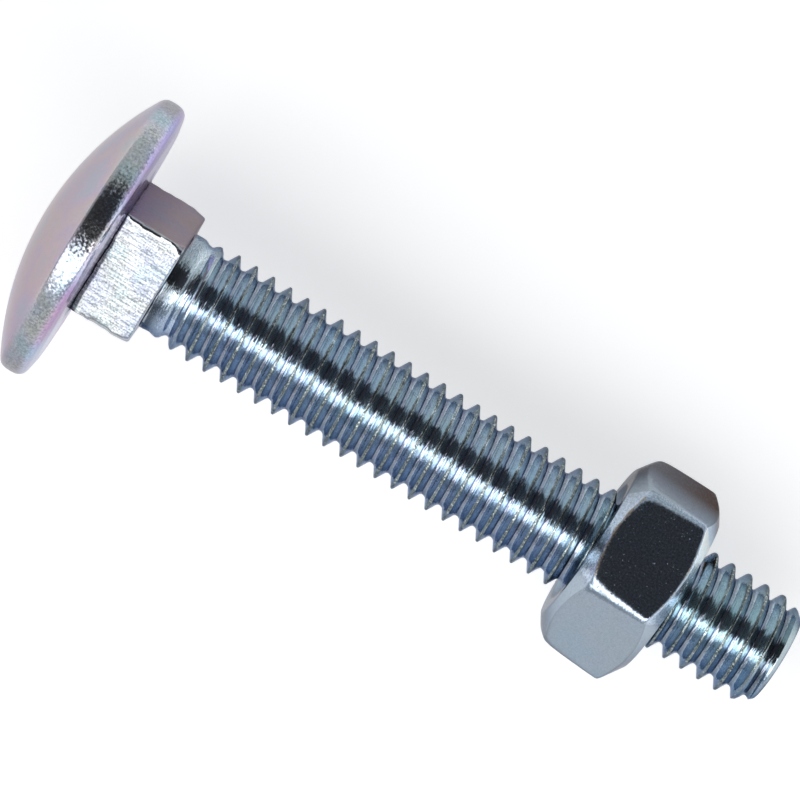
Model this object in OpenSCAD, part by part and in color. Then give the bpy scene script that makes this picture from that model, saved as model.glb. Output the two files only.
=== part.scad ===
// Fully threaded carriage bolt with one hexagon nut, lying on its side on a level floor.
// It rests on the rim of its head and on the far edge of the nut's lowest flat, so the
// bolt's axis slopes down towards the tip. +X runs from head to tip and +Z is up.
// The origin is on the floor, under the middle of the bounding box.

/* [Head] */
// diameter of the cup head
head_d = 15.6; // [14:0.02:17]
// height of the cup head above its bearing face
head_h = 3.54; // [3.1:0.02:4.2]
// radius of the dome
dome_r = 15.4; // [13:0.1:20]
// rounding between the dome and the rim
rim_round = 0.7; // [0.3:0.05:0.9]
// height of the bevel under the rim
bevel_h = 0.3; // [0.2:0.02:0.5]
// width of the bevel under the rim
bevel_w = 1.1; // [0.8:0.02:1.3]
// rounding between the rim and its bevel
bevel_round = 0.7; // [0.3:0.05:0.75]
// how far the head sits off the bolt's axis, to one side
head_off = 0.16; // [0:0.01:0.3]

/* [Neck] */
// width across the flats of the square neck
neck_w = 5.85; // [5.5:0.05:6.5]
// length of the square neck under the head
neck_len = 3.42; // [2.8:0.02:4.6]
// corner rounding of the square neck
neck_corner = 0.5; // [0.3:0.05:0.9]
// bevel round the thread end of the neck
neck_bevel = 0.2; // [0.1:0.01:0.22]
// height of the low cone where the neck leaves the head
foot_h = 0.35; // [0.1:0.01:0.5]
// width of the low cone beyond the neck's corners
foot_w = 2; // [0.5:0.05:2.3]
// turn of the neck about the bolt's axis
neck_turn = 32.7; // [-45:0.1:45]

/* [Thread] */
// outside diameter of the thread
thread_d = 5.87; // [5.7:0.01:6]
// diameter of the blank that the thread is rolled on
blank_d = 5.42; // [5.3:0.01:5.5]
// distance between neighbouring crests
pitch = 1; // [0.75:0.25:1.5]
// radial height of the thread
thread_depth = 0.58; // [0.5:0.01:0.65]
// width of the crest as a share of the pitch
crest_share = 0.14; // [0.08:0.01:0.25]
// width of the root as a share of the pitch
root_share = 0.24; // [0.15:0.01:0.3]
// length over which the roots sink to full depth
root_run = 1.4; // [0.6:0.1:2]
// length over which the crests rise to full height
crest_run = 2.15; // [1:0.05:3]
// length from the bearing face of the head to the tip
bolt_len = 39.13; // [34:0.01:60]
// diameter of the flat tip
tip_d = 4.66; // [4.2:0.02:5]
// width of the small outer bevel at the tip
tip_bevel = 0.17; // [0.05:0.01:0.3]
// turn of the thread about the bolt's axis
thread_turn = 103.4; // [-180:0.1:180]

/* [Nut] */
// width across the flats of the nut
nut_w = 9.9; // [9.78:0.01:10]
// thickness of the nut
nut_h = 4.85; // [4.7:0.05:5.2]
// rounding of the nut's six long edges
nut_round = 0.6; // [0.2:0.05:1]
// diameter of the round face that the bevels leave on each side
nut_face_d = 8.7; // [8:0.05:9.5]
// angle between the nut's bevels and its faces
nut_bevel = 32; // [15:1:34]
// radial clearance between the nut's bore and the crests
nut_gap = 0.045; // [0.01:0.005:0.1]
// widening of the bore at each mouth
mouth_w = 0.4; // [0.2:0.05:0.6]
// distance from the bearing face of the head to the near face of the nut
nut_at = 28.08; // [8:0.02:29]

/* [Hidden] */
// fineness of round forms
$fn = 96;
// steps round one turn of the thread, and points across it
turn_steps = 30;
cross_steps = 4;
// least gap between the neck or the tip and the nearest row of the thread
end_gap = 0.05;
// how far joined solids run into each other
sink = 0.3;
// slopes of the two bevels at the tip
tip_steep = 0.85;
tip_easy = 0.4;

// head outline: the dome meets the rim in a rounding that touches both
head_r = head_d / 2;
dome_z = dome_r - head_h;
rim_in = head_r - rim_round;
dome_in = dome_r - rim_round;
rim_z = dome_z - sqrt(dome_in * dome_in - rim_in * rim_in);
dome_end_r = rim_in * dome_r / dome_in;
dome_end_z = dome_z + (rim_z - dome_z) * dome_r / dome_in;

// rim outline: the bevel runs tangent to its rounding
bevel_long = norm([bevel_w, bevel_h]);
bevel_in = head_r - bevel_round;
bevel_z = -(bevel_round * bevel_long + (bevel_w - bevel_round) * bevel_h) / bevel_w;
bevel_end_r = bevel_in + bevel_round * bevel_h / bevel_long;
bevel_end_z = bevel_z + bevel_round * bevel_w / bevel_long;

// thread radii
crest_r = thread_d / 2;
root_r = crest_r - thread_depth;
blank_r = blank_d / 2;
tip_r = tip_d / 2;
neck_reach = (neck_w / 2 - neck_corner) * sqrt(2) + neck_corner;
foot_in = neck_w / 2 - sink;

// nut radii, and how deep its bevels cut at the middle of a flat
bore_r = crest_r + nut_gap;
corner_r = nut_w / 2 / cos(30);
flat_drop = (nut_w - nut_face_d) / 2 * tan(nut_bevel);
corner_drop = (corner_r - nut_face_d / 2) * tan(nut_bevel);
round_in = nut_w / 2 - nut_round;

// resting slope: the floor touches the rim's lower rounding and the nut's far edge
rest_run = nut_at + nut_h - flat_drop - bevel_z;
rest_rise = bevel_in - nut_w / 2;
slope = atan2(rest_rise, rest_run) + asin(bevel_round / norm([rest_run, rest_rise]));
axis_h = bevel_in * cos(slope) + bevel_z * sin(slope) + bevel_round;
low_x = dome_z * cos(slope) - dome_r;
high_x = bolt_len * cos(slope) + tip_r * sin(slope);
middle_x = (low_x + high_x) / 2;

// lays a solid that stands on the bearing face of the head into the resting pose
module laid_down() {
  translate([-middle_x, head_off, axis_h])
    rotate([0, 90 + slope, 0])
      children();
}

// half outline of the head, revolved about the bolt's axis
module head_outline() {
  intersection() {
    translate([0, dome_z]) circle(r = dome_r);
    polygon([[0, rim_z], [0, -head_h - sink], [dome_end_r, -head_h - sink],
      [dome_end_r, dome_end_z], [rim_in, rim_z]]);
  }
  translate([rim_in, rim_z]) circle(r = rim_round);
  translate([bevel_in, bevel_z]) circle(r = bevel_round);
  polygon([[0, foot_h], [0, rim_z], [rim_in, rim_z], [head_r, rim_z], [head_r, bevel_z],
    [bevel_in, bevel_z], [bevel_end_r, bevel_end_z], [head_r - bevel_w, 0],
    [neck_reach + foot_w, 0], [foot_in, foot_h]]);
}

// rounded square section of the neck
module neck_section() {
  inner = neck_w - 2 * neck_corner;
  square([neck_w, inner], center = true);
  square([inner, neck_w], center = true);
  for (x = [-inner / 2, inner / 2], y = [-inner / 2, inner / 2])
    translate([x, y]) circle(r = neck_corner);
}

// side view of the neck with its end bevels, drawn out across the neck
module neck_side() {
  half = neck_w / 2;
  rotate([90, 0, 0])
    linear_extrude(2 * neck_w, center = true)
      polygon([[-half, -sink], [half, -sink], [half, neck_len - neck_bevel],
        [half - neck_bevel, neck_len], [neck_bevel - half, neck_len],
        [-half, neck_len - neck_bevel]]);
}

module neck() {
  intersection() {
    translate([0, 0, -sink]) linear_extrude(neck_len + sink) neck_section();
    neck_side();
    rotate(90) neck_side();
  }
}

// helical grid: row i counts points across the thread, column j counts steps round it
flank = (1 - crest_share - root_share) / 2;
share_at = [0, flank, flank + crest_share, 1 - root_share];
profile_at = [root_r, crest_r, crest_r, root_r];
first_z = neck_len - sink;
row_count = cross_steps * ceil((bolt_len - neck_len) / pitch + 2);
function row_z(i, j) = neck_len + pitch * (floor(i / cross_steps) - 2
  + share_at[i % cross_steps] + j / turn_steps);
function share_of(z, run) = pow(min(1, max(0, (z - neck_len) / run)), 2);
function run_in(r, z) = blank_r + (r - blank_r)
  * share_of(z, r > blank_r ? crest_run : root_run);
function tip_cut(z) = tip_r + min(tip_steep * (bolt_len - z),
  tip_bevel + tip_easy * (bolt_len - z));
function row_r(i, z) = min(tip_cut(z), run_in(profile_at[i % cross_steps], z));
function on_ring(r, j, z) = [r * cos(360 * j / turn_steps), r * sin(360 * j / turn_steps), z];

// a grid point inside the neck or past the tip gives way to the ring that closes that end
function point_of(i, j) = row_z(i, j) < neck_len + end_gap ? j
  : row_z(i, j) > bolt_len - end_gap ? turn_steps + j
  : 2 * turn_steps + i * turn_steps + j;
function at(i, j) = j < turn_steps ? point_of(i, j) : point_of(i + cross_steps, 0);
function whole(t) = t[0] != t[1] && t[1] != t[2] && t[2] != t[0];

// core and thread of the shank in one piece, with run-in at the neck and bevelled tip
module threaded_shank() {
  columns = [for (j = [0 : turn_steps - 1]) j];
  first_ring = [for (j = columns) on_ring(blank_r, j, first_z)];
  last_ring = [for (j = columns) on_ring(tip_r, j, bolt_len)];
  grid = [for (i = [0 : row_count + cross_steps - 1], j = columns)
    on_ring(row_r(i, row_z(i, j)), j, row_z(i, j))];
  lower = [for (i = [0 : row_count - 1], j = columns) [at(i, j), at(i + 1, j), at(i + 1, j + 1)]];
  upper = [for (i = [0 : row_count - 1], j = columns) [at(i, j), at(i + 1, j + 1), at(i, j + 1)]];
  sides = [for (t = concat(lower, upper)) if (whole(t)) t];
  ends = [columns, [for (j = columns) 2 * turn_steps - 1 - j]];
  rotate(thread_turn) polyhedron(concat(first_ring, last_ring, grid), concat(ends, sides));
}

module bolt() {
  color([0.62, 0.67, 0.74])
    laid_down() {
      union() {
        translate([0, -head_off, 0]) rotate_extrude() head_outline();
        rotate(neck_turn) neck();
      }
      threaded_shank();
    }
}

module hex_nut() {
  color([0.55, 0.6, 0.66])
    laid_down()
      translate([0, 0, nut_at])
        difference() {
          intersection() {
            linear_extrude(nut_h) nut_section();
            nut_bevels();
          }
          translate([0, 0, -sink]) cylinder(h = nut_h + 2 * sink, r = bore_r);
          nut_mouth();
          translate([0, 0, nut_h]) mirror([0, 0, 1]) nut_mouth();
        }
}

// hexagon section of the nut with rounded corners
module nut_section() {
  for (turn = [0 : 60 : 120])
    rotate(turn) square([nut_w, 2 * round_in * tan(30)], center = true);
  for (turn = [30 : 60 : 330])
    rotate(turn) translate([round_in / cos(30), 0]) rotate(180) circle(r = nut_round);
}

// round body with bevelled ends that trims the nut's corners
module nut_bevels() {
  rotate_extrude()
    polygon([[0, 0], [nut_face_d / 2, 0], [corner_r, corner_drop],
      [corner_r, nut_h - corner_drop], [nut_face_d / 2, nut_h], [0, nut_h]]);
}

// funnel at a mouth of the bore
module nut_mouth() {
  translate([0, 0, -mouth_w])
    cylinder(h = 2 * mouth_w, r1 = bore_r + 2 * mouth_w, r2 = bore_r);
}

bolt();
hex_nut();
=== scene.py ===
import bpy
import numpy as np
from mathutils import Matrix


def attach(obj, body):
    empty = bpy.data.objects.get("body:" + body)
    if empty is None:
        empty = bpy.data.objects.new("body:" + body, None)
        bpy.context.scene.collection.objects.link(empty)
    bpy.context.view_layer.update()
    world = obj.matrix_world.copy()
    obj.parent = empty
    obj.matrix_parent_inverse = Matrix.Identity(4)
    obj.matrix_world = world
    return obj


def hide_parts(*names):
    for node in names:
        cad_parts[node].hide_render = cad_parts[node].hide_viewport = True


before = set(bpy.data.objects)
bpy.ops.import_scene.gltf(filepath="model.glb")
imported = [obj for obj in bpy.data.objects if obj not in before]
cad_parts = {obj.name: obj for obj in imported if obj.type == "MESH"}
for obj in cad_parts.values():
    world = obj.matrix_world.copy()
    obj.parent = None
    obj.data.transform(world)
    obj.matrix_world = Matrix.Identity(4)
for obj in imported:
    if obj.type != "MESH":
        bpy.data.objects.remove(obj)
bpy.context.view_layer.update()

scene = bpy.context.scene
scene.view_settings.view_transform = "Standard"

# camera
# The photograph was taken from almost straight above, a little to the bolt's near side,
# with a long lens some 23 cm away. No lens shift and no depth of field.
view = bpy.data.cameras.new("photo_view")
view.lens, view.sensor_width = 207.922, 36.0
view.clip_start, view.clip_end = 0.01, 5.0
camera = bpy.data.objects.new("photo_view", view)
camera.location = (0.00777327, -0.04654384, 0.2311118)
camera.rotation_euler = (0.2004959, -0.07305275, 0.53684084)
scene.collection.objects.link(camera)
scene.camera = camera

# paper floor
# A wide sheet of white paper lies under the bolt. It is matt, and its own white
# shows to the camera and in the metal, with the bolt's shadow kept on it.
paper_reach, paper_squares = 1.5, 24
paper_shades = (0.62, 0.62, 0.625), (0.65, 0.65, 0.65)
paper_mottle, paper_dullness, paper_glow = 90.0, 0.95, 0.6


def paper_mesh():
    """A level square grid: x and y run evenly from edge to edge, z stays at the floor."""
    line = np.linspace(-paper_reach, paper_reach, paper_squares + 1)
    x, y = np.meshgrid(line, line, indexing="ij")
    points = np.stack([x, y, np.zeros_like(x)], -1).reshape(-1, 3)
    index = np.arange(x.size).reshape(x.shape)
    corners = np.stack([index[:-1, :-1], index[1:, :-1], index[1:, 1:], index[:-1, 1:]], -1)
    mesh = bpy.data.meshes.new("paper_floor")
    mesh.from_pydata(points.tolist(), [], corners.reshape(-1, 4).tolist())
    return mesh


def node(tree, kind, feeds=(), **settings):
    """A new node in a tree, with its settings. Feeds go to its inputs, in order or by name: each
    is a link from another node, or a plain value that is set on the socket itself."""
    made = tree.nodes.new("ShaderNode" + kind)
    for name, value in settings.items():
        setattr(made, name, value)
    for name, feed in feeds.items() if isinstance(feeds, dict) else enumerate(feeds):
        if isinstance(feed, bpy.types.NodeSocket):
            tree.links.new(feed, made.inputs[name])
        else:
            made.inputs[name].default_value = feed
    return made


def toned(tree, share, stops):
    """Colours that blend into each other along a share from 0 to 1, each with its own place."""
    ramp = node(tree, "ValToRGB", (share,))
    tones = ramp.color_ramp.elements
    for tone, (place, colour) in zip(tones, (stops[0], stops[-1])):
        tone.position, tone.color = place, (*colour, 1)
    for place, colour in stops[1:-1]:
        tones.new(place).color = (*colour, 1)
    return ramp.outputs["Color"]


def white_paper():
    """Matt near-white paper with a faint mottle; camera, glossy and clear rays also see its glow."""
    finish = bpy.data.materials.new("white_paper")
    finish.use_nodes = True
    tree = finish.node_tree
    place = node(tree, "TexCoord")
    mottle = node(tree, "TexNoise", {"Vector": place.outputs["Object"], "Scale": paper_mottle})
    paper = tree.nodes["Principled BSDF"]
    paper.inputs["Roughness"].default_value = paper_dullness
    shade = toned(tree, mottle.outputs["Fac"], list(zip((0, 1), paper_shades)))
    tree.links.new(shade, paper.inputs["Base Color"])
    glow = node(tree, "Emission", {"Strength": paper_glow})
    bright = node(tree, "AddShader", (paper.outputs[0], glow.outputs[0]))
    rays = node(tree, "LightPath")
    sees_glow = rays.outputs["Is Camera Ray"]
    for ray in ("Is Glossy Ray", "Is Transmission Ray"):
        sees_glow = node(tree, "Math", (sees_glow, rays.outputs[ray]), operation="MAXIMUM").outputs[0]
    seen = node(tree, "MixShader", (sees_glow, paper.outputs[0], bright.outputs[0]))
    tree.links.new(seen.outputs[0], tree.nodes["Material Output"].inputs["Surface"])
    return finish


floor_mesh = paper_mesh()
floor_mesh.materials.append(white_paper())
paper_floor = bpy.data.objects.new("paper_floor", floor_mesh)
scene.collection.objects.link(paper_floor)

# studio light
# Pale walls and ceiling give soft light from all round. A long soft box hangs on the near
# side, and the ceiling straight above the bolt is dark, where the camera stands.
wall, far_wall, end_wall = (0.8, 0.83, 0.87), (0.56, 0.61, 0.65), (0.5, 0.54, 0.58)
soft_box, dark_ceiling = (3.1, 3.1, 3.15), (0.038, 0.038, 0.044)
light_round = [(-180, wall), (-92, wall), (-66, (0.46, 0.5, 0.54)), (-58, wall),
               (-50, (2.6, 2.65, 2.7)), (-42, soft_box), (-34, soft_box), (-29, (2.2, 2.2, 2.25)),
               (-21, (0.08, 0.08, 0.09)), (-12, dark_ceiling), (29, dark_ceiling),
               (43, far_wall), (62, far_wall), (92, wall), (180, wall)]
end_from, end_to = 0.86, 0.96


def studio_room():
    """Light by the way it comes from. Its angle from straight up, the arc tangent of y over z, less
    than 0 on the near side, picks the tone; where x is near 1 or -1 the end walls take over."""
    room = bpy.data.worlds.new("studio")
    room.use_nodes = True
    tree = room.node_tree
    way = node(tree, "SeparateXYZ", (node(tree, "TexCoord").outputs["Generated"],))
    turn = node(tree, "Math", (way.outputs["Y"], way.outputs["Z"]), operation="ARCTAN2")
    turn_share = node(tree, "MapRange",
                      {"Value": turn.outputs[0], "From Min": -np.pi, "From Max": np.pi})
    sides = toned(tree, turn_share.outputs[0],
                  [((degrees + 180) / 360, colour) for degrees, colour in light_round])
    endways = node(tree, "Math", (way.outputs["X"],), operation="ABSOLUTE")
    end_share = node(tree, "MapRange",
                     {"Value": endways.outputs[0], "From Min": end_from, "From Max": end_to})
    light = node(tree, "Mix", data_type="RGBA",
                 feeds={"Factor": end_share.outputs[0], "A": sides, "B": (*end_wall, 1)})
    tree.links.new(light.outputs["Result"], tree.nodes["Background"].inputs["Color"])
    return room


scene.world = studio_room()

# carriage bolt
# One cold-formed steel bolt in bright zinc plate: cup head, square neck, and a right-hand
# thread rolled along the whole shank. It lies on the rim of its head and on the nut.
# Sizes are in millimetres, and lengths run from the head's bearing face towards the tip.
slope = np.radians(4.883032825896144)
along = np.array([np.cos(slope), 0.0, -np.sin(slope)])
down = np.array([-np.sin(slope), 0.0, -np.cos(slope)])
sideways = np.array([0.0, 1.0, 0.0])
seat = np.array([-17.80163407978739, 0.16, 7.70638331462225])      # middle of the bearing face
neck_half, neck_len, neck_turn = 2.925, 3.42, np.radians(32.7)
blank_r, thread_start, bolt_len = 2.71, neck_len + 0.02, 39.129
crease = np.radians(38)


def placed(x, radius, angle, off=0.0):
    """Metres in the row's frame: along the bolt by x, out by radius at an angle from straight down
    towards +Y, and sideways by off."""
    out = radius[..., None] * (np.cos(angle)[..., None] * down + np.sin(angle)[..., None] * sideways)
    return (seat + x[..., None] * along + out + np.asarray(off)[..., None] * sideways) / 1000


def turns_about(sides, corner_at, step, kept_off, reach, count):
    """Angles of a grid's columns: even steps in degrees round a full turn, which stop kept_off
    degrees short of each corner, where count closer ones reach so far to both sides of it."""
    side = 2 * np.pi / sides
    even = np.radians(np.arange(0, 360, step))
    from_corner = np.abs((even - corner_at + side / 2) % side - side / 2)
    close = (corner_at + np.arange(sides)[:, None] * side
             + np.radians(np.linspace(-reach, reach, count))).ravel() % (2 * np.pi)
    return np.sort(np.concatenate([even[from_corner > np.radians(kept_off)], close]))


def stretch(about, x, out, tint, grain=0.3, crest=0.0, off=0.0, finish=0):
    """One stretch of a turned surface: rows by x and out, a column for each angle about. What is
    given as one number, row or column is spread over the whole grid."""
    grid = np.zeros((len(x), len(about)))
    return {"x": x + grid, "out": out + grid, "off": off + grid, "tint": tint + grid[..., None],
            "grain": grain + grid, "crest": crest + grid, "finish": finish + grid}


def put_together(*stretches):
    """The layers of several stretches, with their rows one after another."""
    return {layer: np.concatenate([part[layer] for part in stretches]) for layer in stretches[0]}


def woven(rows, columns, lead=0):
    """Triangles over a grid of rows round a full turn, two to a square. At the closing column each
    row meets the row that lies lead further on, which is how a screw thread closes."""
    row, column = np.meshgrid(np.arange(rows - 1 - lead), np.arange(columns), indexing="ij")
    here = row * columns + column
    beside = (row + lead * (column == columns - 1)) * columns + (column + 1) % columns
    corners = np.stack([here, beside, beside + columns, here + columns], -1).reshape(-1, 4)
    return corners[:, [0, 1, 2, 0, 2, 3]].reshape(-1, 3)


def closed_mesh(name, points, triangles, layers):
    """Points that share one place become one, triangles that lose a corner go, and the colours of
    the layers are kept on the points. Edges sharper than the crease stay sharp."""
    points = points.reshape(-1, 3)
    first, weld = np.unique(np.round(points * 1e8).astype(np.int64), axis=0,
                            return_index=True, return_inverse=True)[1:]
    finishes = layers["finish"].ravel()[triangles[:, 0]]
    triangles = weld.ravel()[triangles]
    a, b, c = triangles.T
    whole = (a != b) & (b != c) & (c != a)
    triangles = triangles[whole]
    mesh = bpy.data.meshes.new(name)
    mesh.vertices.add(len(first))
    mesh.vertices.foreach_set("co", points[first].astype(np.float32).ravel())
    mesh.loops.add(triangles.size)
    mesh.loops.foreach_set("vertex_index", triangles.astype(np.int32).ravel())
    mesh.polygons.add(len(triangles))
    mesh.polygons.foreach_set("loop_start", np.arange(0, triangles.size, 3, dtype=np.int32))
    mesh.polygons.foreach_set("material_index", finishes[whole].astype(np.int32))
    tint = layers["tint"].reshape(-1, 3)[first]
    rgba = np.concatenate([tint, np.ones((len(tint), 1))], 1)
    mesh.attributes.new("tint", "FLOAT_COLOR", "POINT").data.foreach_set(
        "color", rgba.astype(np.float32).ravel())
    for layer in ("grain", "crest"):
        mesh.attributes.new(layer, "FLOAT", "POINT").data.foreach_set(
            "value", layers[layer].ravel()[first].astype(np.float32))
    mesh.update(calc_edges=True)
    mesh.validate()
    mesh.shade_smooth()
    mesh.set_sharp_from_angle(angle=crease)
    return mesh


def rise(value, start, end):
    """A share that goes straight from 0 at start to 1 at end, and is level outside them."""
    return np.clip((value - start) / (end - start), 0, 1)


def mixed(first, second, share):
    """From the first colour to the second: the first, plus a share of the way between them."""
    return first + (np.asarray(second) - first) * share


round_about = turns_about(4, neck_turn + np.pi / 4, 3.75, 5.9, 5.4, 10)
aside = np.sin(round_about)      # 1 on the far side of the bolt, -1 on its near side
by_side = aside[None, :, None]

# head: a dome, a rim rounded as a flattened oval, and the shallow cone of the underside
dome_r, dome_edge_r, head_h, head_off = 15.4, 7.43, 3.538, -0.16
rim_x, rim_half_x, rim_r, rim_half_r, rim_power = -0.88, 0.79, 7.0, 0.8, 2 / 2.7
lean = np.linspace(0, np.arcsin(dome_edge_r / dome_r), 34)[:, None]
dome_x = dome_r - head_h - dome_r * np.cos(lean)
dome_out = dome_r * np.sin(lean)
sweep = np.radians(np.linspace(-76, 80, 30))
rim = np.stack([rim_x + rim_half_x * np.sign(np.sin(sweep)) * np.abs(np.sin(sweep)) ** rim_power,
                rim_r + rim_half_r * np.cos(sweep) ** rim_power], -1)
rim = rim[rim[:, 0] > dome_x[-1] + 0.03]
under = np.array([[-0.02, 6.83], [0.0, 6.7], [0.0, 6.3], [0.0, 5.95],
                  [0.005, 5.6], [0.01, 5.1], [0.015, 4.6]])
under_off = head_off * np.array([1, 1, 1, 1, 0.7, 0.4, 0.15])[:, None]

# The passivated zinc of the head is lilac on the dome with straw round its crown, grey on the
# rim, and plum and lilac beneath. The dome is darker on its near side, and the rim's grey lighter
# and darker round the bolt, as painted shade and light. A painted highlight runs as a bright line
# beside the neck.
dome_above, dome_below, straw = (0.5, 0.47, 0.49), (0.44, 0.37, 0.42), (0.48, 0.41, 0.38)
# line is the colour of the painted highlight beside the neck.
plum, lilac, blue_end, line = (0.45, 0.42, 0.66), (0.45, 0.33, 0.52), (0.5, 0.56, 0.66), (0.9, 0.86, 0.95)
rim_hue = np.array([0.95, 1.04, 1.08])
# The dome's near side is darker: painted shade.
dome_tint = mixed(mixed(np.array(dome_below), dome_above, 0.5 + 0.5 * by_side), straw,
                  rise(dome_out, 7, 0)[..., None])
# rim_shading: the rim's grey, painted lighter and darker by side as painted light and shade.
rim_shading = np.interp(aside, [-1, -0.8, -0.6, -0.2, 0.3, 0.76, 0.87, 1],
                     [0.3, 0.34, 0.56, 0.46, 0.52, 0.44, 0.32, 0.27])
# highlight_band: where the painted highlight runs round the bolt.
highlight_band = rise(np.abs(by_side + 0.2), 0.35, 0.15)
under_tint = mixed(np.array(lilac), plum, rise(by_side, -5 / 9, 5 / 9))
under_tint = mixed(under_tint, blue_end, rise(by_side, -0.8, -0.95))
rim_tint = mixed(dome_tint[-1:], rim_shading[None, :, None] * rim_hue,
                 rise(rim[:, 0], rim[0, 0], rim[0, 0] + 0.35)[:, None, None])
rim_tint = mixed(rim_tint, mixed(under_tint, line, highlight_band),
                 rise(rim[:, 0], -0.55, -0.25)[:, None, None])
under_tint = mixed(under_tint, line, rise(under[:, 1], 5.3, 5.7)[:, None, None]
                   * rise(by_side, 0.5, -0.5) * highlight_band)
rim_grain = np.interp(rim[:, :1], [rim[0, 0], -1.1, -0.4, -0.1], [0.15, 1.0, 1.0, 0.1])
dome_part = stretch(round_about, dome_x, dome_out, dome_tint, 0.15, off=head_off)
rim_part = stretch(round_about, rim[:, :1], rim[:, 1:], rim_tint, rim_grain, off=head_off)
under_part = stretch(round_about, under[:, :1], under[:, 1:], under_tint, 0.1, off=under_off)

# neck: a rounded square, with its corners pressed fuller in some places than in others, a ragged
# foot in a small fillet, a rounded shoulder, and a face that runs in to the round blank
foot_at, foot_rag = 0.13, 0.06
rag_waves = (3, 0.7, 1.0), (11, 2.0, 0.7), (23, 0.4, 0.6), (47, 0.0, 0.4)      # count, start, height
fillet = np.array([[0.06, 0.12], [0.035, 0.05], [0.01, 0.015]])      # before the foot, and out from it
corner_mean, corner_by_shoulder = 0.16, 0.4
corner_waves = (0.09, 2.3, 1), (0.04, 9.1, 2)      # height, rate along the neck, step from side to side
shoulder_at, shoulder_r = neck_len - 0.2, 0.16


def rounded_polygon(angle, sides, half, corner):
    """How far a rounded polygon reaches at an angle: half over the cosine of the angle from the
    nearest flat, or the corner's arc where that ends sooner."""
    wedge = np.pi / sides
    turn = (angle + wedge) % (2 * wedge) - wedge
    flat = half / np.cos(turn)
    centre = (half - corner) / np.cos(wedge)
    lean = wedge - np.abs(turn)
    arc = centre * np.cos(lean) + np.sqrt(np.maximum(corner ** 2 - (centre * np.sin(lean)) ** 2, 0))
    return np.where(half * np.tan(np.abs(turn)) > (half - corner) * np.tan(wedge), arc, flat)


square_turn = round_about - neck_turn
rag = sum(height * np.sin(count * square_turn + start) for count, start, height in rag_waves)
rag /= sum(height for count, start, height in rag_waves)
foot_x = foot_at + foot_rag * rag
sides_x = foot_x + (shoulder_at - foot_x) * np.linspace(0, 1, 27)[:, None] ** 1.4
side_number = 5 * np.round(square_turn / (np.pi / 2) - 0.5)
corner_r = corner_mean + sum(height * np.sin(rate * sides_x + step * side_number)
                             for height, rate, step in corner_waves)
corner_r += corner_by_shoulder * rise(sides_x, 2.5, 3.3) ** 2
sides_out = rounded_polygon(square_turn, 4, neck_half, corner_r)
fold = np.radians(np.linspace(0, 90, 6))[1:, None]
shoulder_x = shoulder_at + shoulder_r * np.sin(fold) + 0 * square_turn
shoulder_out = sides_out[-1:] - shoulder_r * (1 - np.cos(fold))
face_share = np.linspace(0, 1, 5)[1:, None]
face_x = shoulder_x[-1:] + (thread_start - shoulder_x[-1:]) * face_share
face_out = shoulder_out[-1:] + (blank_r - shoulder_out[-1:]) * face_share
face_x[-1], face_out[-1] = thread_start, blank_r
neck_x = np.concatenate([foot_x - fillet[:, :1], sides_x, shoulder_x, face_x])
neck_out = np.concatenate([sides_out[:1] + fillet[:, 1:], sides_out, shoulder_out, face_out])

# The neck is pale, but one side, turned to the far side, is mauve in its plate and darkened by
# painted shade, most by the head; further along it turns lighter and browner. A dark ragged line
# of painted shade, widest on the near side, runs where the foot of the pale sides meets the head.
pale, shaded_mauve, browner_less_shaded = (0.46, 0.5, 0.53), (0.15, 0.13, 0.18), (0.14, 0.13, 0.09)
foot_shade, shaded_face_ends = (0.08, 0.085, 0.105), 0.722      # shaded_face_ends: the cosine where the shaded side ends
# on_shaded_face: the side painted darker as shade, over its mauve.
on_shaded_face = np.cos(square_turn - np.pi / 2)[None, :, None] > shaded_face_ends
shaded_mauve_tint = np.array(shaded_mauve) + np.array(browner_less_shaded) * rise(neck_x, 0, 2.4)[..., None]
neck_tint = mixed(np.array(pale), shaded_mauve_tint, on_shaded_face)
# foot_shade_to: how far the painted shade reaches from the head, widest on the near side.
foot_shade_to = 0.27 + 0.08 * rag - 0.14 * np.clip(0.5 + 1.6 * aside, -0.4, 1)
foot_shade_band = rise(neck_x - foot_shade_to, 0.015, -0.015)[..., None] * ~on_shaded_face
neck_tint = mixed(neck_tint, foot_shade, foot_shade_band)
neck_part = stretch(round_about, neck_x, neck_out, neck_tint, finish=1)

# thread: fourteen rows to a pitch, closest at the crest and the root, all following the screw
pitch, crest_r, root_r = 1.0, 2.935, 2.355
crest_share, root_share, thread_soft = 0.11, 0.24, 0.035
flank_share = (1 - crest_share - root_share) / 2
crest_run, root_run, thread_turn = 2.15, 1.4, np.radians(103.4)
tip_r, tip_bevel, tip_steep, tip_easy, tip_dish = 2.33, 0.17, 0.85, 0.4, 0.05


def soft_join(first, second, soft, way):
    """The lesser of two sizes, way -1, or the greater, way 1, with the corner between them rounded:
    half of their sum, plus or minus the root of their difference squared and soft squared."""
    return (first + second + way * np.sqrt((first - second) ** 2 + soft ** 2)) / 2


def thread_reach(share):
    """Radius across one pitch, share counted from a root's end: a straight-sided ridge whose crest
    and root are rounded."""
    away = np.abs((share - flank_share - crest_share / 2 + 0.5) % 1 - 0.5)
    line = crest_r - (crest_r - root_r) * (away - crest_share / 2) / flank_share
    return soft_join(soft_join(line, crest_r, thread_soft, -1), root_r, thread_soft, 1)


def thread_at(x, share):
    """The thread rises out of the plain blank behind the neck, by the square of the way into the
    run-in, and both bevels cut it at the tip."""
    full = thread_reach(share)
    run = np.where(full > blank_r, crest_run, root_run)
    grown = blank_r + (full - blank_r) * np.clip((x - thread_start) / run, 0, 1) ** 2
    left = bolt_len - x
    return np.minimum(grown, tip_r + np.minimum(tip_steep * left, tip_bevel + tip_easy * left))


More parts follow.
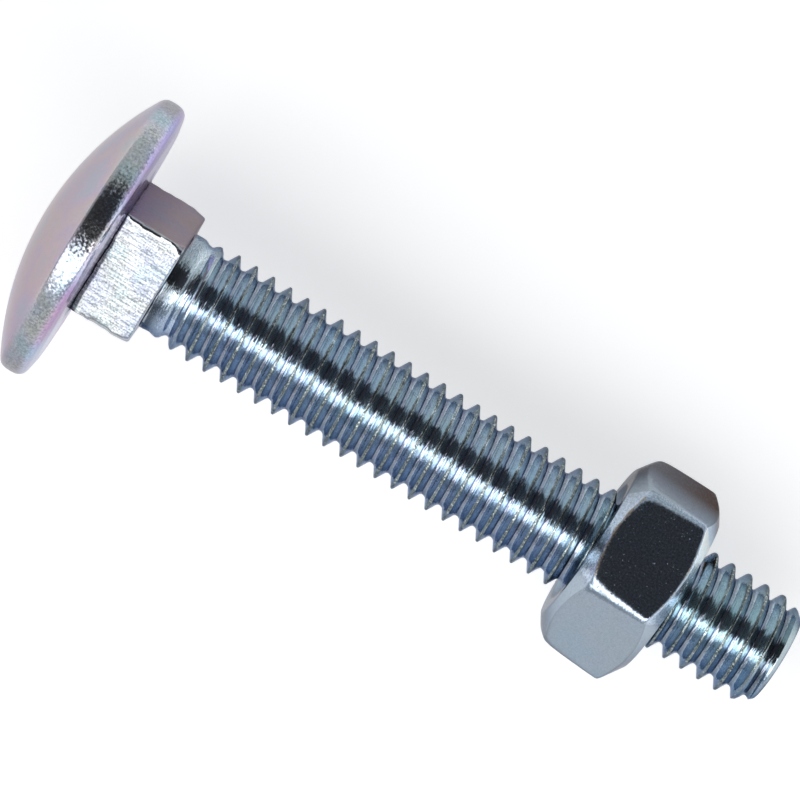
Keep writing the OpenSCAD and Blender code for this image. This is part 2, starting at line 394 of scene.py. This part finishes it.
crest_end = flank_share + crest_share
row_share = np.array([0.03, 0.08, 0.2, flank_share - 0.03, flank_share, flank_share + 0.035,
                      flank_share + crest_share / 2, crest_end - 0.035, crest_end, crest_end + 0.03,
                      0.6, 0.72, 0.8, 0.9])
pitches = int(np.ceil(bolt_len - neck_len)) + 4
screw_share = (np.arange(pitches)[:, None] - 2 + row_share).ravel()[:, None]
screw_x = neck_len + pitch * (screw_share + (round_about - thread_turn) / (2 * np.pi))
screw_x = np.clip(screw_x, thread_start, bolt_len)
screw_out = thread_at(screw_x, screw_share)

# The thread is steel blue. Painted shade makes it darker and deeper blue towards both sides of the
# shank, darker below than above, and darker and greyer at the roots, most of all at the sides; the
# crests at the sides are painted darker too. It is also darker on the blank behind the neck, most
# of all on its near side, and on the last crest. Its grain is coarser at the sides and on the blank.
steel_blue, shaded_blue_above, shaded_blue_below = (0.66, 0.77, 0.83), (0.46, 0.55, 0.62), (0.37, 0.46, 0.58)
root_shade, teal, bevel_tint = (0.42, 0.47, 0.57), (-0.04, 0.0, -0.02), (0.36, 0.41, 0.45)
# at_side: 0 where the thread faces up, 1 at both sides; it carries the painted side shade and the coarser
# grain.
at_side = np.interp(180 - np.degrees(round_about), [-44, -22, 20, 44], [1, 0, 0, 1])
side_shading = at_side[None, :, None]
side_shade_blue = mixed(np.array(shaded_blue_below), shaded_blue_above, by_side > 0)
thread_tint = mixed(np.array(steel_blue), side_shade_blue, side_shading)
# root_shade: painted shade in the roots of the thread, deepest at the sides.
thread_tint = mixed(thread_tint, np.array(root_shade) * (1 - 0.45 * side_shading),
                    rise(screw_out, root_r + 0.05, root_r + 0.01)[..., None])
thread_tint *= 1 + np.array(teal) * rise(screw_x, 24, 36)[..., None]
past_neck, past_tip = (screw_x - neck_len)[..., None], (screw_x - bolt_len)[..., None]
blank_tone = np.interp(aside, [-1, -0.2, 0.2, 1], [0.24, 0.26, 0.6, 0.8])[None, :, None]
thread_tint *= 1 - (1 - blank_tone) * rise(past_neck, 0.8, 0.3)
thread_tint *= 1 - 0.3 * rise(past_tip, -1.1, -0.6)
# The crests at the sides are painted darker: painted shade.
thread_tint *= 1 - 0.42 * side_shading * rise(screw_out, 2.66, 2.81)[..., None]
thread_grain = 0.55 + 0.8 * rise(past_neck[..., 0], 1.32, 0.72) + 0.9 * at_side
thread_part = stretch(round_about, screw_x, screw_out, thread_tint, thread_grain,
                      crest=rise(screw_out, crest_r - 0.13, crest_r), finish=2)

# tip: the flat end is dished a little by the cropping
tip_steps = np.array([1.0, 0.97, 0.9, 0.6, 0.3, 0.0])[:, None]
tip_part = stretch(round_about, bolt_len - tip_dish * (1 - tip_steps ** 4), tip_r * tip_steps,
                   np.array(bevel_tint), 0.55, finish=2)

bolt_layers = put_together(dome_part, rim_part, under_part, neck_part, thread_part, tip_part)
body_rows = len(dome_x) + len(rim) + len(under) + len(neck_x)
columns = len(round_about)
bolt_faces = np.concatenate([
    woven(body_rows, columns),
    woven(len(screw_x), columns, len(row_share)) + body_rows * columns,
    woven(len(tip_steps), columns) + (body_rows + len(screw_x)) * columns])
bolt_points = placed(bolt_layers["x"], bolt_layers["out"], round_about[None], bolt_layers["off"])
bolt_mesh = closed_mesh("bolt", bolt_points, bolt_faces, bolt_layers)


def bright_zinc(name, drift_share, streaks, grains, dullness, wear, dings, edge_tone):
    """Bright zinc plate: the painted tint, drifting a little between blue, lilac and straw.
    Streaks (lean, mm along, mm round) tilt the surface round the bolt, grains (lean, mm) tilt
    it any way, worn edges are specked in the wear colours, dings are small dents, and
    edge_tone tones down what shows at a glancing angle."""
    streak_lean, streak_along, streak_round = streaks
    grain_lean, grain_size = grains
    finish = bpy.data.materials.new(name)
    finish.use_nodes = True
    tree = finish.node_tree
    metal = tree.nodes["Principled BSDF"]
    metal.inputs["Metallic"].default_value = 1.0
    metal.inputs["Specular Tint"].default_value = (*edge_tone, 1)
    place = node(tree, "TexCoord")
    straight = node(tree, "Mapping", {"Vector": place.outputs["Object"], "Rotation": (0.0, -slope, 0.0)})

    def noise(size, drawn_out=1.0, detail=2.0):
        """Noise with cells of size mm, drawn out along the bolt by a factor."""
        drawn = node(tree, "Mapping", {"Vector": straight.outputs[0], "Scale": (1 / drawn_out, 1.0, 1.0)})
        return node(tree, "TexNoise",
                    {"Vector": drawn.outputs[0], "Scale": 1000 / size, "Detail": detail}).outputs

    def reckon(operation, *values):
        """One step of arithmetic on links and plain numbers."""
        return node(tree, "Math", values, operation=operation).outputs[0]

    def leant(operation, first, second=(0.0, 0.0, 0.0), **scale):
        """One step of arithmetic on directions; a Scale lengthens the first of them."""
        return node(tree, "VectorMath", {0: first, 1: second, **scale}, operation=operation).outputs[0]

    def between(value, low, high):
        """A share that goes from 0 where the value is low to 1 where it is high."""
        return node(tree, "MapRange", {"Value": value, "From Min": low, "From Max": high}).outputs[0]

    def painted(layer):
        """A layer that closed_mesh keeps on the points."""
        return node(tree, "Attribute", attribute_name=layer).outputs

    def blended(kind, share, first, second):
        """Two colours laid over each other by a share, mixed or multiplied."""
        return node(tree, "Mix", {"Factor": share, "A": first, "B": second},
                    data_type="RGBA", blend_type=kind).outputs["Result"]

    grain_here = painted("grain")["Fac"]
    specks = noise(0.1, detail=3.0)["Fac"]
    chipped = reckon("MULTIPLY_ADD", reckon("ADD", specks, noise(0.7)["Fac"]), 2.2, -1.2)
    worn = between(reckon("MULTIPLY", chipped, painted("crest")["Fac"]), 0.5, 0.66)
    drift = toned(tree, noise(2.6, detail=3.0)["Fac"],
                  [(0.34, (0.86, 1.0, 1.08)), (0.46, (1.0, 0.95, 1.05)),
                   (0.56, (1.08, 1.0, 0.93)), (0.68, (0.92, 1.03, 1.0))])
    drifted = blended("MULTIPLY", drift_share, painted("tint")["Color"], drift)
    fine = noise(grain_size)
    mottle = reckon("MULTIPLY_ADD", reckon("SUBTRACT", fine["Fac"], 0.5),
                    reckon("MULTIPLY", grain_here, 1.4), 1.0)
    mottled = blended("MULTIPLY", 1.0, drifted, mottle)
    rubbed, dull, bare = wear
    bare_specks = toned(tree, specks, [(0.4, rubbed), (0.47, dull), (0.58, dull), (0.66, bare)])
    colour = blended("MIX", reckon("MULTIPLY", worn, 0.85), mottled, bare_specks)
    tree.links.new(colour, metal.inputs["Base Color"])

    rough = reckon("MULTIPLY_ADD", fine["Fac"], 0.1, dullness - 0.05)
    tree.links.new(reckon("MULTIPLY_ADD", worn, 0.1, rough), metal.inputs["Roughness"])

    upright = node(tree, "NewGeometry").outputs["Normal"]
    bolt_way = node(tree, "VectorTransform", (tuple(float(v) for v in along),),
                    vector_type="VECTOR", convert_from="OBJECT", convert_to="WORLD").outputs[0]
    streak = reckon("SUBTRACT", noise(streak_round, streak_along / streak_round, 1.0)["Fac"], 0.5)
    streaked = leant("SCALE", leant("CROSS_PRODUCT", bolt_way, upright),
                     Scale=reckon("MULTIPLY", streak, streak_lean))
    dents = reckon("MULTIPLY", between(noise(0.16, detail=3.0)["Fac"], 0.6, 0.67), grain_here)
    grained_by = reckon("MULTIPLY", reckon("MULTIPLY_ADD", worn, 2.0, grain_here), grain_lean)
    grained = leant("SCALE", leant("SUBTRACT", fine["Color"], (0.5, 0.5, 0.5)),
                    Scale=reckon("MULTIPLY_ADD", dents, dings, grained_by))
    tilted = leant("ADD", leant("ADD", streaked, grained), upright)
    tree.links.new(leant("NORMALIZE", tilted), metal.inputs["Normal"])
    return finish


worn_zinc = (0.04, 0.04, 0.035), (0.2, 0.23, 0.22), (0.6, 0.64, 0.58)
bolt_mesh.materials.append(bright_zinc("head_zinc", 0.8, (0.08, 0.4, 0.2), (0.5, 0.13), 0.2,
                                       worn_zinc, 0.0, (0.7, 0.68, 0.72)))
bolt_mesh.materials.append(bright_zinc("neck_zinc", 0.7, (0.2, 0.9, 0.08), (0.75, 0.09), 0.18,
                                       worn_zinc, 0.3, (0.5, 0.48, 0.52)))
bolt_mesh.materials.append(bright_zinc("thread_zinc", 0.25, (0.6, 0.04, 0.4), (0.25, 0.05), 0.13,
                                       worn_zinc, 0.0, (0.33, 0.37, 0.46)))
bolt = bpy.data.objects.new("plated_bolt", bolt_mesh)
scene.collection.objects.link(bolt)
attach(bolt, "bolt")
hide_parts("bolt")

# hexagon nut
# A cold-pressed nut in the same zinc plate, bevelled on both faces and tapped right through.
# Its hexagon stands a little out of square to its thread, as pressed nuts often do.
nut_half, nut_h, nut_at, nut_face_r = 4.95, 4.85, 28.08, 4.35
bevel_slope, nut_skew = np.tan(np.radians(32)), np.radians(-2.0)
mouth_r, minor_r, nut_clear, ring_x, ring_r = 3.38, 2.52, 0.03, 0.42, 2.98
bevel_soft, corner_soft = 0.14, 0.3
nut_about = turns_about(6, np.pi / 6, 4, 8.2, 7.5, 17)
from_corner = np.abs(nut_about % (np.pi / 3) - np.pi / 6)


def nut_flats(x):
    """The hexagon's reach at a height x: its long edges are pressed fuller towards the tip side of
    the nut than on its head side."""
    return rounded_polygon(nut_about, 6, nut_half, 1.25 - 0.9 * rise(x, 0, nut_h))


def nut_side(x):
    """The hexagon cut by a bevel cone at each face; the edges between them are slightly rounded,
    most of all at the corners on the head side."""
    near, far = nut_face_r + x / bevel_slope, nut_face_r + (nut_h - x) / bevel_slope
    near_soft = bevel_soft + corner_soft * rise(from_corner, np.radians(18), 0)
    return soft_join(soft_join(nut_flats(x), near, near_soft, -1), far, bevel_soft, -1)


def bevel_cut(face, way):
    """How far a bevel cuts down the side at each angle: the flats' reach past the round face times
    the bevel's slope, worked out again until it settles, as that reach changes with height."""
    cut = 0 * nut_about + 0.5
    for _ in range(6):
        cut = (nut_flats(face + way * cut) - nut_face_r) * bevel_slope
    return cut


near_cut, far_cut = bevel_cut(0, 1), bevel_cut(nut_h, -1)
edge = np.array([-0.2, -0.13, -0.08, -0.04, 0, 0.04, 0.08, 0.13, 0.2])[:, None]      # rows over an edge
cone_share = np.array([0.0, 0.04, 0.1, 0.3, 0.65])[:, None]
flat_share = np.linspace(0, 1, 12)[1:-1, None]
side_x = np.concatenate([cone_share * (near_cut - 0.2), near_cut + edge,
                         near_cut + 0.2 + (nut_h - far_cut - near_cut - 0.4) * flat_share,
                         nut_h - far_cut - edge[::-1], nut_h - cone_share[::-1] * (far_cut - 0.2)])
mouth = np.array([[ring_x, ring_r], [ring_x / 2, mouth_r - 0.2], [0.03, mouth_r],
                  [0.008, mouth_r + 0.04], [0.0, mouth_r + 0.12], [0.0, 3.9]])
mouth_x, mouth_out = mouth[:, :1] + 0 * nut_about, mouth[:, 1:] + 0 * nut_about
shell_x = np.concatenate([mouth_x, side_x, nut_h - mouth_x[::-1]])
shell_out = np.concatenate([mouth_out, nut_side(side_x), mouth_out[::-1]])

# The plate is grey. The flat that faces away carries painted shade in a brown tone, darkest
# towards its outer edge and the tip side. The topmost flat is painted lighter, and the bevels,
# mostly paler, are painted lighter and darker round the nut, as painted light and shade. The
# edges round the topmost flat are rubbed bright.
nut_grey, shade_brown = (0.3, 0.355, 0.41), (-0.16, -0.23, -0.29)
away_flat = np.abs(nut_about - np.radians(120)) < np.radians(30)
top_flat = np.abs(nut_about - np.pi) < np.radians(31)
# away_shade: painted shade on the flat that faces away, in a brown tone.
away_shade = (away_flat * rise(nut_about, np.radians(144), np.radians(114))
           * (0.7 + 0.6 * rise(shell_x, 0, nut_h)))
# The bevels' painted light and shade, by the angle round the nut.
near_bevel_shading = 1 + np.interp(nut_about, np.radians([130, 190]), [-0.3, 0.35])
far_bevel_shading = 1 + np.interp(nut_about, np.radians([150, 190]), [1.4, 0.5])
bevel_shading = np.where(shell_x < near_cut - 0.05, near_bevel_shading,
                      np.where(shell_x > nut_h - far_cut + 0.05, far_bevel_shading, 1.0))
shell_tint = np.array(nut_grey) + away_shade[..., None] * np.array(shade_brown)
# The topmost flat is painted lighter: painted light.
shell_tint *= ((1 + 0.35 * top_flat) * bevel_shading)[..., None]
rubbed_edge = ((0.75 * np.exp(-((shell_x - near_cut) / 0.12) ** 2)
                + 0.6 * np.exp(-((shell_x - nut_h + far_cut) / 0.08) ** 2))
               * np.exp(-((nut_about - np.pi) / np.radians(32)) ** 8))
shell_part = stretch(nut_about, shell_x, shell_out, shell_tint, 0.3 + 0.5 * top_flat, rubbed_edge)


def skewed(points):
    """The shell turned about an upright axis through the nut's middle: each offset keeps its part
    along that axis, and the rest turns by the skew. The rows that meet the bore aren't turned."""
    turn = np.full(len(points), nut_skew)[:, None, None]
    turn[[0, -1]] = 0
    centre = (seat + (nut_at + nut_h / 2) * along) / 1000
    offset = points - centre
    upright = -down
    onto = (offset @ upright)[..., None] * upright
    return (centre + offset * np.cos(turn) + np.cross(upright, offset) * np.sin(turn)
            + onto * (1 - np.cos(turn)))


# bore: the thread of the bolt again, a hair wider, running between the two mouths
bore_share = np.array([0.0, 0.05, 0.15, flank_share - 0.02, flank_share + 0.02,
                       flank_share + crest_share / 2, crest_end - 0.02, crest_end + 0.02,
                       0.6, 0.7, 0.78, 0.88])
first_pitch = np.floor((nut_at - neck_len) / pitch) - 2
bore_rows = (np.arange(9)[:, None] + bore_share).ravel()[:, None]
bore_from, bore_to = nut_at + ring_x, nut_at + nut_h - ring_x
bore_x = neck_len + pitch * (first_pitch + bore_rows + (nut_about - thread_turn) / (2 * np.pi))
bore_x = np.clip(bore_x, bore_from, bore_to)
bore_out = np.maximum(thread_reach(bore_rows + 0 * bore_x) + nut_clear, minor_r)
bore_out = np.maximum(bore_out, ring_r - np.minimum(bore_x - bore_from, bore_to - bore_x))
bore_part = stretch(nut_about, bore_x, bore_out, np.array(nut_grey))

nut_layers = put_together(shell_part, bore_part)
nut_columns = len(nut_about)
shell_points = skewed(placed(nut_at + shell_x, shell_out, nut_about[None]))
nut_points = np.concatenate([shell_points, placed(bore_x, bore_out, nut_about[None])])
nut_faces = np.concatenate([
    woven(len(shell_x), nut_columns),
    woven(len(bore_x), nut_columns, len(bore_share))[:, ::-1] + shell_x.size])
nut_mesh = closed_mesh("hex_nut", nut_points, nut_faces, nut_layers)
worn_nut = (0.16, 0.11, 0.07), (0.3, 0.24, 0.18), (0.55, 0.55, 0.52)
nut_mesh.materials.append(bright_zinc("nut_zinc", 0.25, (0.2, 0.12, 0.3), (0.08, 0.1), 0.2,
                                      worn_nut, 1.5, (0.42, 0.42, 0.44)))
nut = bpy.data.objects.new("plated_nut", nut_mesh)
scene.collection.objects.link(nut)
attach(nut, "hex_nut")
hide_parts("hex_nut")

bpy.context.view_layer.update()
